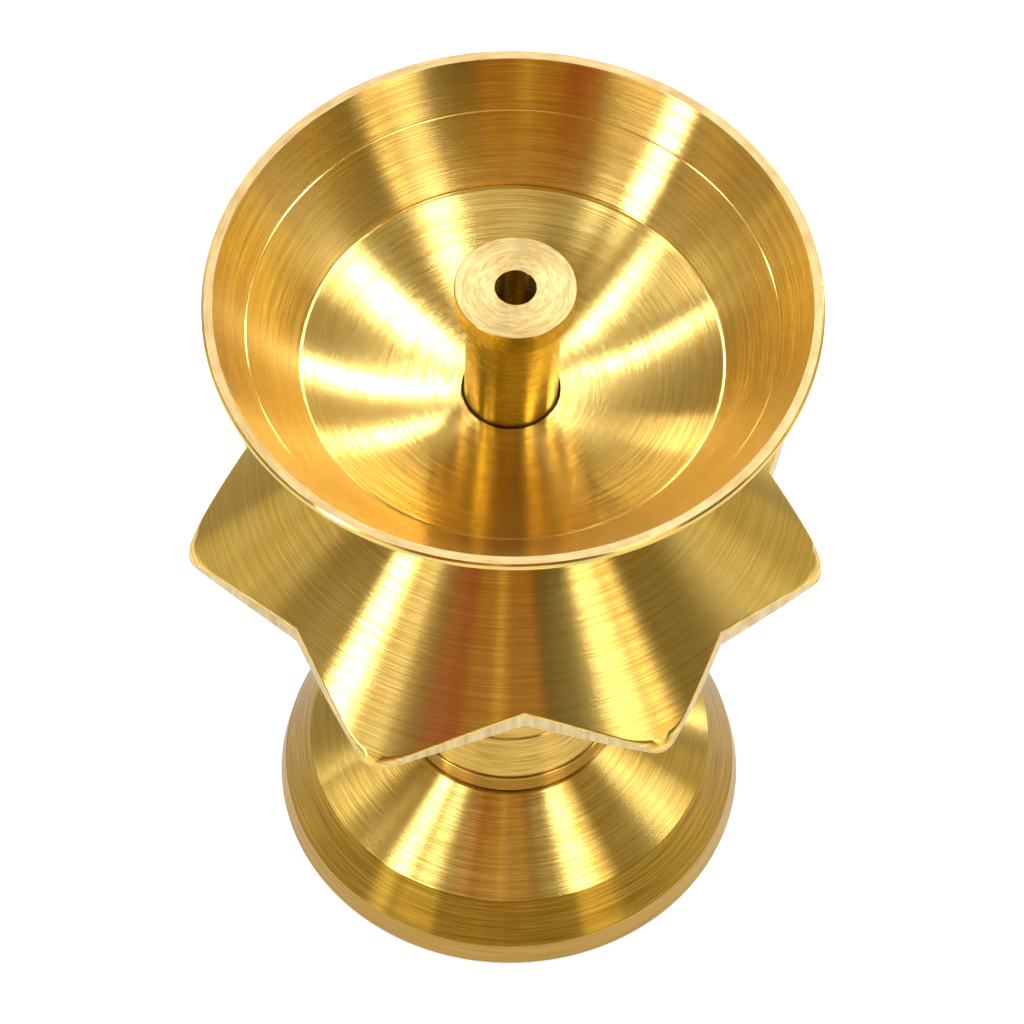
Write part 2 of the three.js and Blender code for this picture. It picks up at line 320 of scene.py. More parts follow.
class RingMesh:
    """A mesh of rings of points joined by strips of faces. Each corner of a face has its own normal."""

    def __init__(self, name: str) -> None:
        """Starts an empty mesh.

        Args:
            name: The name of the object that it becomes.
        """
        self.name = name
        self.points: list[np.ndarray] = []
        self.starts: list[int] = []
        self.sizes: list[int] = []
        self.faces: list[list[int]] = []
        self.normals: list[np.ndarray] = []
        self.finishes: list[int] = []

    def ring(self, points: np.ndarray) -> int:
        """Adds a ring.

        Args:
            points: Its points in millimetres, one row each; a single row is a pole on the axis.

        Returns:
            The ring's number.
        """
        self.starts.append(sum(self.sizes))
        self.sizes.append(len(points))
        self.points.append(points)
        return len(self.sizes) - 1

    def strip(
        self,
        low: int,
        high: int,
        low_normals: np.ndarray,
        high_normals: np.ndarray,
        finish: int,
    ) -> None:
        """Joins two rings, seen from outside with the low ring below the high one.

        Args:
            low: Number of the ring at the lower edge.
            high: Number of the ring at the upper edge.
            low_normals: For each face, the normals at the left and right ends of its lower edge.
            high_normals: The same for its upper edge.
            finish: Number of the finish.
        """
        columns = max(self.sizes[low], self.sizes[high])
        for k in range(columns):
            corners = []
            for number, normals in ((low, low_normals), (high, high_normals)):
                start, size = self.starts[number], self.sizes[number]
                ends = [(start, normals[k].mean(0))] if size == 1 else [
                    (start + k, normals[k, 0]),
                    (start + (k + 1) % size, normals[k, 1]),
                ]
                corners += ends if number == low else ends[::-1]
            self.faces.append([corner[0] for corner in corners])
            self.normals += [corner[1] for corner in corners]
            self.finishes.append(finish)

    def join(self, bands: list[tuple[np.ndarray, np.ndarray, int]]) -> None:
        """Joins each ring to the next one, and the last to the first where there are as many bands as rings.

        Args:
            bands: For each strip, the normals along its lower and upper edges, and the number of its finish.
        """
        for number, (low_normals, high_normals, finish) in enumerate(bands):
            self.strip(number, (number + 1) % len(self.sizes), low_normals, high_normals, finish)

    def build(self, finishes: list[bpy.types.Material], lean: Lean | None = None) -> bpy.types.Object:
        """Makes the object.

        Args:
            finishes: The materials, in the order of their numbers.
            lean: The tilt of a piece made on its own axis.

        Returns:
            The object, at the origin, with its place in its mesh.
        """
        mesh = bpy.data.meshes.new(self.name)
        mesh.from_pydata(np.concatenate(self.points) * MM, [], self.faces)
        mesh.polygons.foreach_set("material_index", self.finishes)
        mesh.shade_smooth()
        mesh.normals_split_custom_set(unit(np.array(self.normals)))
        if lean:
            mesh.transform(lean.matrix())
        for finish in finishes:
            mesh.materials.append(finish)
        return add_object(self.name, mesh)


def turned(name: str, corners: list[Corner], columns: int, closed: bool = True) -> RingMesh:
    """Turns a profile round the axis.

    Args:
        name: The piece's name.
        corners: The profile, anticlockwise with the radius to the right and the height upwards.
        columns: Number of faces round the axis.
        closed: Whether the last corner joins the first; otherwise both lie on the axis.

    Returns:
        The mesh, ready to be built.
    """
    angles = np.linspace(0, 2 * math.pi, columns, endpoint=False)
    azimuth = np.stack([np.cos(angles), np.sin(angles)], axis=1)
    on_axis = 1e-6
    profile = eased(corners, closed)
    mesh = RingMesh(name)
    for point in profile:
        radius, height = point.place
        ring = lifted(azimuth * radius, height) if radius > on_axis else np.array([[0.0, 0.0, height]])
        mesh.ring(ring + [point.shift, 0, 0])
    following = profile[1:] + profile[:1] if closed else profile[1:]
    mesh.join([
        (coned(azimuth, *start.after), coned(azimuth, *end.before), start.finish)
        for start, end in zip(profile, following)
    ])
    return mesh


def around_axis(tree: bpy.types.NodeTree, place: Socket) -> tuple[Socket, Socket]:
    """Finds where a point of the metal lies round the axis.

    Args:
        tree: The material's node tree.
        place: Socket with the point.

    Returns:
        Sockets with the level unit vector away from the axis, and with the distance from it in metres.
    """
    level = add_node(tree, "ShaderNodeVectorMath", {"operation": "MULTIPLY", 1: (1, 1, 0)}, {0: place})
    outward = add_node(tree, "ShaderNodeVectorMath", {"operation": "NORMALIZE"}, {0: level.outputs[0]})
    radius = add_node(tree, "ShaderNodeVectorMath", {"operation": "LENGTH"}, {0: level.outputs[0]})
    return outward.outputs[0], radius.outputs["Value"]


@dataclass(frozen=True)
class Scratches:
    """Noise drawn out into scratches that follow a turned surface.

    Attributes:
        turns: Scratches in a radian round the axis.
        rows: Scratches in a millimetre up the flank.
        twist: How far they swing round the axis, in radians for each millimetre up the flank.
    """

    turns: float
    rows: float
    twist: float = 0.0

    def pattern(self, tree: bpy.types.NodeTree, outward: Socket, along: Socket) -> Socket:
        """Adds the scratches.

        Args:
            tree: The material's node tree.
            outward: Socket with the level unit vector away from the axis.
            along: Socket with the distance up the flank, in metres.

        Returns:
            Socket with a value about one half.
        """
        if self.twist:
            swing = add_node(tree, "ShaderNodeMath", {"operation": "MULTIPLY", 1: self.twist / MM},
                             {0: along})
            outward = add_node(tree, "ShaderNodeVectorRotate", {"rotation_type": "Z_AXIS"},
                               {"Vector": outward, "Angle": swing.outputs[0]}).outputs[0]
        spread = add_node(tree, "ShaderNodeVectorMath", {"operation": "SCALE", "Scale": self.turns},
                          {0: outward})
        rise = add_node(tree, "ShaderNodeMath", {"operation": "MULTIPLY", 1: self.rows / MM}, {0: along})
        lift = add_node(tree, "ShaderNodeCombineXYZ", {}, {"Z": rise.outputs[0]})
        place = add_node(tree, "ShaderNodeVectorMath", {"operation": "ADD"},
                         {0: spread.outputs[0], 1: lift.outputs[0]})
        noise = add_node(tree, "ShaderNodeTexNoise", {"Scale": 1.0, "Detail": 2.0, "Roughness": 0.6},
                         {"Vector": place.outputs[0]})
        return noise.outputs[0]


@dataclass(frozen=True)
class Grain:
    """What a pattern does to a metal.

    Attributes:
        low: Colour where the pattern is low.
        high: Colour where it is high.
        ends: The values of the pattern between which the colour changes.
        roughness: Mean roughness.
        vary: Share by which the low places are rougher and the high ones smoother.
        depth: Depth of the relief in millimetres.
    """

    low: str
    high: str
    ends: tuple[float, float]
    roughness: float
    vary: float
    depth: float

    def dress(self, tree: bpy.types.NodeTree, pattern: Socket) -> tuple[bpy.types.Node, Socket]:
        """Adds the metal with its pattern, and the material's output.

        Args:
            tree: The material's node tree.
            pattern: Socket with the pattern's value.

        Returns:
            The shader's node, and the socket with the relief's normal.
        """
        tone = add_node(tree, "ShaderNodeMapRange", {1: self.ends[0], 2: self.ends[1]}, {0: pattern})
        colour = add_node(tree, "ShaderNodeMix", {
            "data_type": "RGBA",
            6: linear(self.low),
            7: linear(self.high),
        }, {0: tone.outputs[0]})
        # Noise rarely leaves 0.3 to 0.7
        rough = add_node(tree, "ShaderNodeMapRange", {
            1: 0.3,
            2: 0.7,
            3: self.roughness * (1 + self.vary),
            4: self.roughness * (1 - self.vary),
        }, {0: pattern})
        relief = add_node(tree, "ShaderNodeBump", {"Strength": 1.0, "Distance": self.depth * MM},
                          {"Height": pattern})
        shader = add_node(tree, "ShaderNodeBsdfPrincipled", {"Metallic": 1.0}, {
            "Base Color": colour.outputs[2],
            "Roughness": rough.outputs[0],
            "Normal": relief.outputs[0],
        })
        add_node(tree, "ShaderNodeOutputMaterial", {}, {"Surface": shader.outputs[0]})
        return shader, relief.outputs[0]


@dataclass(frozen=True)
class TurnedBrass:
    """Cast brass turned on a lathe and lightly burnished with the tool's fine lines left on.

    The lines run round the axis, so each light is drawn out into a streak towards the axis, with crisp sides
    that waver a little from line to line. Real feed lines lie about 0.1 mm apart, which is finer than a
    pixel, so they are drawn nearly twice as coarse.

    Attributes:
        name: The material's name.
        slope: Which way the surface runs.
        lit: Colour on the crests of the lines.
        deep: Colour in their hollows.
        roughness: Mean roughness.
        streak: Anisotropy, from even (0) to fully drawn out (1).
        spacing: Distance between lines in millimetres.
        depth: Depth of a line in millimetres.
        waver: How far a line tips to one side or the other along its run, as a slope.
        sanding: Depth of the oblique strokes of abrasive paper, in millimetres.
        strokes: Those strokes, leaning to the left and to the right.
        lean: Tilt of the piece's own axis.
    """

    name: str
    slope: Slope
    lit: str = "#E2C46C"
    deep: str = "#C89F46"
    roughness: float = 0.21
    streak: float = 1.0
    spacing: float = 0.17
    depth: float = 0.008
    waver: float = 0.007
    sanding: float = 0.0
    strokes: tuple[Scratches, Scratches] = (
        Scratches(turns=110, rows=0.25, twist=0.026),
        Scratches(turns=110, rows=0.25, twist=-0.020),
    )
    lean: Lean | None = None

    def material(self) -> bpy.types.Material:
        """Makes the material.

        Returns:
            The material.
        """
        material = new_material(self.name)
        tree = material.node_tree
        place = add_node(tree, "ShaderNodeTexCoord").outputs["Object"]
        if self.lean:
            stand = {"vector_type": "TEXTURE", "Location": self.lean.matrix().translation,
                     "Rotation": self.lean.matrix().to_euler()}
            place = add_node(tree, "ShaderNodeMapping", stand, {"Vector": place}).outputs[0]
        outward, radius = around_axis(tree, place)
        height = add_node(tree, "ShaderNodeSeparateXYZ", {}, {0: place})
        along = add_node(tree, "ShaderNodeMath", {"operation": "MULTIPLY_ADD", 1: self.slope.value},
                         {0: height.outputs["Z"], 2: radius}).outputs[0]

        # Single lines, and the bands of four or so that the eye reads first
        fine = Scratches(turns=3.0, rows=1 / self.spacing).pattern(tree, outward, along)
        broad = Scratches(turns=1.2, rows=0.25 / self.spacing).pattern(tree, outward, along)
        lines = add_node(tree, "ShaderNodeMix", {"data_type": "FLOAT", "Factor": 0.35}, {2: fine, 3: broad})
        metal = Grain(low=self.deep, high=self.lit, ends=(0.40, 0.60), roughness=self.roughness, vary=0.2,
                      depth=self.depth)
        shader, relief = metal.dress(tree, lines.outputs[0])
        if self.sanding:
            left, right = (stroke.pattern(tree, outward, along) for stroke in self.strokes)
            crossed = add_node(tree, "ShaderNodeMath", {"operation": "MAXIMUM"}, {0: left, 1: right})
            relief = add_node(tree, "ShaderNodeBump", {"Strength": 1.0, "Distance": self.sanding * MM},
                              {"Height": crossed.outputs[0], "Normal": relief}).outputs[0]

        # The lines tip from side to side in short lengths
        groove = add_node(tree, "ShaderNodeVectorMath", {"operation": "CROSS_PRODUCT", 0: (0, 0, 1)},
                          {1: outward})
        ripple = Scratches(turns=12.0, rows=1.1 / self.spacing).pattern(tree, outward, along)
        tip = add_node(tree, "ShaderNodeMapRange", {1: 0.2, 2: 0.8, 3: -self.waver, 4: self.waver},
                       {0: ripple})
        aside = add_node(tree, "ShaderNodeVectorMath", {"operation": "SCALE"},
                         {0: groove.outputs[0], "Scale": tip.outputs[0]})
        tipped = add_node(tree, "ShaderNodeVectorMath", {"operation": "ADD"},
                          {0: relief, 1: aside.outputs[0]})
        normal = add_node(tree, "ShaderNodeVectorMath", {"operation": "NORMALIZE"}, {0: tipped.outputs[0]})
        tree.links.new(normal.outputs[0], shader.inputs["Normal"])

        # The quarter turn draws lights out across the lines
        tree.links.new(groove.outputs[0], shader.inputs["Tangent"])
        shader.inputs["Anisotropic"].default_value = self.streak
        shader.inputs["Anisotropic Rotation"].default_value = 0.25
        return material


@dataclass(frozen=True)
class SandedBrass:
    """Brass faced off and rubbed with fine abrasive paper or a file, on the lip and the star's cut edge.

    It has lost its mirror, so it looks pale, dry and creamy beside the burnished metal.

    Attributes:
        name: The material's name.
        pale: Colour where the paper cut.
        dull: Colour where older metal is left.
        roughness: Mean roughness.
        grit: Width of a scratch in millimetres, a little coarser than the paper's own grit so that it shows.
        patch: Width of a patch of older metal, in millimetres.
        depth: Depth of a scratch in millimetres.
    """

    name: str
    pale: str = "#C8AD76"
    dull: str = "#B2935C"
    roughness: float = 0.48
    grit: float = 0.25
    patch: float = 10 / 3
    depth: float = 0.006

    def material(self) -> bpy.types.Material:
        """Makes the material.

        Returns:
            The material.
        """
        material = new_material(self.name)
        tree = material.node_tree
        place = add_node(tree, "ShaderNodeTexCoord").outputs["Object"]
        outward, radius = around_axis(tree, place)
        scratches = Scratches(turns=9.0, rows=1 / self.grit).pattern(tree, outward, radius)
        patches = add_node(tree, "ShaderNodeTexNoise", {
            "Scale": 1 / (self.patch * MM),
            "Detail": 4.0,
            "Roughness": 0.6,
        }, {"Vector": place})
        mixed = add_node(tree, "ShaderNodeMix", {"data_type": "FLOAT", "Factor": 0.5},
                         {2: scratches, 3: patches.outputs[0]})
        metal = Grain(low=self.dull, high=self.pale, ends=(0.35, 0.60), roughness=self.roughness, vary=0.15,
                      depth=self.depth)
        metal.dress(tree, mixed.outputs[0])
        return material


@dataclass(frozen=True)
class ZincPlatedSteel:
    """Rolled and cut steel with bright zinc plate, on the rod, washer and nut.

    The plate looks cool and grey beside the brass, with a fine spangle and soft, even lights.

    Attributes:
        name: The material's name.
        bright: Colour of the brightest spangles.
        grey: Colour of the dullest.
        roughness: Mean roughness.
        spangle: Width of a spangle in millimetres.
        depth: Height of a spangle in millimetres.
    """

    name: str
    bright: str = "#D5D8DA"
    grey: str = "#A9AEB2"
    roughness: float = 0.35
    spangle: float = 5 / 6
    depth: float = 0.004

    def material(self) -> bpy.types.Material:
        """Makes the material.

        Returns:
            The material.
        """
        material = new_material(self.name)
        tree = material.node_tree
        place = add_node(tree, "ShaderNodeTexCoord").outputs["Object"]
        spangle = add_node(tree, "ShaderNodeTexNoise", {"Scale": 1 / (self.spangle * MM), "Detail": 3.0},
                           {"Vector": place})
        metal = Grain(low=self.grey, high=self.bright, ends=(0.35, 0.65), roughness=self.roughness,
                      vary=0.08, depth=self.depth)
        metal.dress(tree, spangle.outputs[0])
        return material


@dataclass(frozen=True)
class Joined:
    """What the pieces share where they fit together, in millimetres."""

    gap: float = 0.3
    rod_radius: float = 3.0

    @property
    def rod_bore(self) -> float:
        """Radius of a hole that the rod passes through."""
        return self.rod_radius + self.gap


FITS = Joined()
COLUMNS = 288


@dataclass(frozen=True)
class Foot:
    """The bell foot: a nearly upright band, a steep bevel and a shallow cone up to the stem's seat.

    It is hollow below, round a boss that the nut clamps.
    """

    radius: float = widest_of("foot")
    height: float = high_of("foot")
    band_radius: float = 29.25
    band_height: float = 3.4
    bevel_radius: float = 25.9
    bevel_height: float = 9.15
    seat_radius: float = 14.4
    rim_width: float = 3.2
    wall: float = 3.2
    boss_radius: float = 10.5
    boss_depth: float = 6.8

    def build(self) -> bpy.types.Object:
        """Builds and dresses the foot.

        Returns:
            The foot.
        """
        bevel_metal, band_metal = 1, 2
        band = Corner(self.band_radius, self.band_height, ease=0.5, finish=bevel_metal)
        bevel = Corner(self.bevel_radius, self.bevel_height, ease=0.3)
        inner_radius = self.radius - self.rim_width
        boss_face = self.height - self.boss_depth
        inner_top = self.height - self.wall
        corners = [
            Corner(inner_radius, 0, ease=0.3, finish=band_metal),
            Corner(self.radius, 0, ease=0.4, finish=band_metal),
            band,
            bevel,
            Corner(self.seat_radius, self.height),
            Corner(FITS.rod_bore, self.height),
            Corner(FITS.rod_bore, boss_face, ease=0.3),
            Corner(self.boss_radius, boss_face, ease=0.4),
            Corner(self.boss_radius, inner_top, ease=1.0),
            Corner(self.boss_radius + self.wall, inner_top, ease=2.0),
            Corner(self.bevel_radius, self.bevel_height - self.wall, ease=2.0),
            Corner(inner_radius, on_flank(band, bevel, inner_radius) - self.wall, ease=1.0),
        ]
        # The cone is burnished and bright, with crisp streaks
        cone = TurnedBrass("foot_turned_brass", Slope.FALLING, roughness=0.22)
        # Painted shade: the bevel's colour is darker and browner, in place of the dark surroundings low in
        # front that the bevel reflects
        side = TurnedBrass("foot_painted_shade_turned_brass", Slope.FALLING, lit="#A9852E", deep="#86651C",
                           roughness=0.22)
        # Handling has rubbed the band's lines away, so it shows soft broad lights
        edge = TurnedBrass("foot_rubbed_turned_brass", Slope.FALLING, lit="#B99650", deep="#A98740",
                           roughness=0.4, streak=0.3, depth=0.001)
        finishes = [finish.material() for finish in (cone, side, edge)]
        return turned("bell_foot", corners, COLUMNS).build(finishes)


@dataclass(frozen=True)
class Stem:
    """The stem: a flange on the foot, a trumpet neck with one turned line, a waist and a flared head."""

    base: float = low_of("stem")
    top: float = high_of("stem")
    flange_radius: float = 14.1
    flange_height: float = 2.95
    ledge: float = 0.35
    waist_radius: float = 6.5
    waist_length: float = 8.5
    neck_power: float = 1.4
    head_radius: float = 12.0
    head_band: float = 1.4
    flare_length: float = 9.5
    line_height: float = 26.4
    line_width: float = 0.5
    line_depth: float = 0.12
    neck_steps: int = 28
    flare_steps: int = 16

    def neck_radius(self, along: float) -> float:
        """The neck's radius at a share of its length above the flange."""
        widest = self.flange_radius - self.ledge
        return self.waist_radius + (widest - self.waist_radius) * (1 - along) ** self.neck_power

    def build(self) -> bpy.types.Object:
        """Builds and dresses the stem.

        Returns:
            The stem.
        """
        flange_top = self.base + self.flange_height
        head_base = self.top - self.head_band
        neck_length = head_base - self.flare_length - self.waist_length - flange_top
        corners = [
            Corner(FITS.rod_bore, self.base),
            Corner(self.flange_radius, self.base, ease=0.3),
            Corner(self.flange_radius, flange_top, ease=0.25),
        ]
        line_share = (self.line_height - flange_top) / neck_length
        half_line = self.line_width / 2 / neck_length
        line = [
            (line_share - half_line, 0.0),
            (line_share, self.line_depth),
            (line_share + half_line, 0.0),
        ]
        for i in range(self.neck_steps + 1):
            along = i / self.neck_steps
            place = self.neck_radius(along), flange_top + along * neck_length
            corners.append(Corner(*place, soft=0 < i))
            if along < line[0][0] and line[2][0] < (i + 1) / self.neck_steps:
                corners += [
                    Corner(self.neck_radius(share) - depth, flange_top + share * neck_length, ease=0.15)
                    for share, depth in line
                ]
        for i in range(self.flare_steps + 1):
            turn = i / self.flare_steps * math.pi / 2
            corners.append(Corner(
                self.head_radius - (self.head_radius - self.waist_radius) * math.cos(turn),
                head_base - self.flare_length * (1 - math.sin(turn)),
                soft=i < self.flare_steps,
            ))
        corners += [Corner(self.head_radius, self.top, ease=0.3), Corner(FITS.rod_bore, self.top)]
        # Turned as the foot is, with its colour darkened as painted shade under the star
        finish = TurnedBrass("stem_turned_brass", Slope.FALLING, lit="#CBAC5C", deep="#B28C3A",
                             roughness=0.22)
        return turned("trumpet_stem", corners, COLUMNS).build([finish.material()])


@dataclass(frozen=True)
class CutPoint:
    """One hand-cut point of the star and the notch after it: each an angle, and how far it strays out."""

    tip: tuple[float, float]
    notch: tuple[float, float]


@dataclass(frozen=True)
class StarCollar:
    """The star collar: a drooping cone, thick at its hub, with its edge sawn and filed into eight points."""

    base: float = low_of("star_collar")
    top: float = high_of("star_collar")
    bore: float = 8.3
    seat_radius: float = 15.2
    hub_radius: float = 12.0
    top_slope: float = 0.87
    under_slope: float = 0.6
    tip_thickness: float = 0.8
    tip_round: float = 3.2
    tip_reach: float = 42.0
    notch_reach: float = 34.4
    edge_bow: float = 0.34
    edge_break: float = 0.22
    break_drop: float = 0.8
    under_break: float = 0.15
    tip_burnish: float = 0.7
    burnish_reach: float = 0.25
    edge_steps: int = 22
    tip_steps: int = 10
    points: tuple[CutPoint, ...] = (
        CutPoint((-78.5, -0.1), (-49, 0.7)),
        CutPoint((-23.7, 0.9), (3, 0.7)),
        CutPoint((27.8, -0.4), (48.5, 0.5)),
        CutPoint((75.4, -1), (88.5, -2.1)),
        CutPoint((119, -0.3), (139, 0)),
        CutPoint((160, 0), (181, 0)),
        CutPoint((201.5, 0), (222, 0)),
        CutPoint((242, -0.1), (264, -1.4)),
    )

    def top_at(self, radius: float | np.ndarray) -> float | np.ndarray:
        """Height of the upper cone at a radius."""
        return self.top - self.top_slope * (radius - self.seat_radius)

    def under_at(self, radius: float | np.ndarray) -> float | np.ndarray:
        """Height of the lower cone at a radius."""
        reach = self.tip_reach + max(point.tip[1] for point in self.points)
        return self.top_at(reach) - self.tip_thickness + self.under_slope * (reach - radius)

    def bowed_middle(self, corner: np.ndarray, notch: np.ndarray) -> np.ndarray:
        """Where the ends of an edge of the plan point, so that the edge bows outwards between them."""
        middle = (corner + notch) / 2
        return middle + unit(middle) * 2 * self.edge_bow

    def outline(self) -> tuple[np.ndarray, np.ndarray, np.ndarray]:
        """Draws the star's plan, with rounded tips and sharp notches.

        Returns:
            The points anticlockwise in plan, the level normals at the left and right ends of the face after
            each point, and how near each point is to a tip, from 0 to 1.
        """
        def at(angle: float, reach: float) -> np.ndarray:
            """The point in plan at an angle from the front and a reach."""
            turn = math.radians(angle)
            return np.array([reach * math.sin(turn), -reach * math.cos(turn)])

        tips = [at(p.tip[0], self.tip_reach + p.tip[1]) for p in self.points]
        notches = [at(p.notch[0], self.notch_reach + p.notch[1]) for p in self.points]
        places, lefts, rights, near = [], [], [], []

        def add_edge(start: np.ndarray, control: np.ndarray, end: np.ndarray, from_tip: bool) -> None:
            """Adds a bowed edge.

            Args:
                start: Where it starts.
                control: Where both its ends point.
                end: Where it ends.
                from_tip: Whether it starts, and doesn't end, at a tip.
            """
            for k in range(self.edge_steps):
                share = k / self.edge_steps
                bend = control * 2 * share * (1 - share)
                places.append(start * (1 - share) ** 2 + bend + end * share ** 2)
                for normals, s in ((lefts, share), (rights, share + 1 / self.edge_steps)):
                    run = (control - start) * (1 - s) + (end - control) * s
                    normals.append(unit(np.array([run[1], -run[0]])))
                from_point = share if from_tip else 1 - share
                near.append(max(0.0, 1 - from_point / self.burnish_reach) ** 2)

        for i, tip in enumerate(tips):
            before_middle = self.bowed_middle(tip, notches[i - 1])
            after_middle = self.bowed_middle(tip, notches[i])
            inward, outward = unit(before_middle - tip), unit(after_middle - tip)
            half = math.acos(float(inward @ outward)) / 2
            trim = self.tip_round / math.tan(half)
            centre = tip + unit(inward + outward) * self.tip_round / math.sin(half)
            start, end = tip + inward * trim, tip + outward * trim
            before, after = unit(start - centre), unit(end - centre)
            sweep = math.acos(float(before @ after))
            add_edge(notches[i - 1], before_middle, start, False)
            arc = [
                (before * math.sin(sweep - turn) + after * math.sin(turn)) / math.sin(sweep)
                for turn in np.linspace(0, sweep, self.tip_steps + 1)
            ]
            for left, right in zip(arc, arc[1:]):
                places.append(centre + left * self.tip_round)
                lefts.append(left)
                rights.append(right)
                near.append(1.0)
            add_edge(end, after_middle, notches[i], True)
        level = np.stack([np.array(lefts), np.array(rights)], axis=1)
        return np.array(places), level, np.array(near)

    def build(self) -> bpy.types.Object:
        """Builds and dresses the star.

        Returns:
            The star.
        """
        plan, level, near = self.outline()
        count = len(plan)
        normal_before = np.roll(level[:, 1], 1, axis=0)
        both = normal_before + level[:, 0]
        mitre = both / (1 + np.sum(normal_before * level[:, 0], axis=1, keepdims=True))
        azimuth = unit(plan)

        # The upper edge is broken wider at the tips, where handling has burnished it, and bulges a little
        break_width = self.edge_break + self.tip_burnish * near
        middle_inset, middle_rise, bulge = 0.3, 0.55, 0.12
        inset = plan - mitre * break_width[:, None]
        halfway = plan - mitre * break_width[:, None] * middle_inset
        inset_height = self.top_at(np.linalg.norm(inset, axis=1))
        reach = np.linalg.norm(plan, axis=1)
        wall_top = self.top_at(reach) - break_width * self.break_drop
        middle_height = inset_height * middle_rise + wall_top * (1 - middle_rise) + break_width * bulge
        under_edge = plan - mitre * self.under_break
        under_edge_height = self.under_at(np.linalg.norm(under_edge, axis=1))

        mesh = RingMesh("star_collar_cut")
        mesh.ring(lifted(azimuth * self.bore, self.base))
        mesh.ring(lifted(azimuth * self.hub_radius, self.base))
        mesh.ring(lifted(azimuth * self.hub_radius, self.under_at(self.hub_radius)))
        mesh.ring(lifted(under_edge, under_edge_height))
        mesh.ring(lifted(plan, self.under_at(reach) + self.under_break))
        mesh.ring(lifted(plan, wall_top))
        mesh.ring(lifted(halfway, middle_height))
        mesh.ring(lifted(inset, inset_height))
        mesh.ring(lifted(azimuth * self.seat_radius, self.top))
        mesh.ring(lifted(azimuth * self.bore, self.top))

        turned_top, cut_wall, turned_under = 0, 1, 2
        sides = np.concatenate([level, np.zeros((count, 2, 1))], axis=2)
        top_normals = coned(azimuth, self.top_slope, 1.0)
        under_normals = coned(azimuth, -self.under_slope, -1.0)
        eased_normals = sides + unit(top_normals)
        up, down = coned(azimuth, 0, 1.0), coned(azimuth, 0, -1.0)
        hub, bore = coned(azimuth, 1.0, 0), coned(azimuth, -1.0, 0)
        mesh.join([
            (down, down, turned_under),
            (hub, hub, turned_under),
            (under_normals, under_normals, turned_under),
            (under_normals, sides, cut_wall),
            (sides, sides, cut_wall),
            (sides, eased_normals, turned_top),
            (eased_normals, top_normals, turned_top),
            (top_normals, top_normals, turned_top),
            (up, up, turned_top),
            (bore, bore, turned_under),
        ])

        # The top is burnished and bright, with faint strokes of abrasive paper that cross its lines
        top = TurnedBrass("star_sanded_turned_brass", Slope.FALLING, sanding=0.004)
        # The cut edge was sawn and filed, so it looks pale and dry
        wall = SandedBrass("star_filed_brass", pale="#CFB988", dull="#B49C68")
        # The underside was turned and left, so it looks softer than the top
        under = TurnedBrass("star_under_turned_brass", Slope.FALLING, roughness=0.28)
        return mesh.build([top.material(), wall.material(), under.material()])


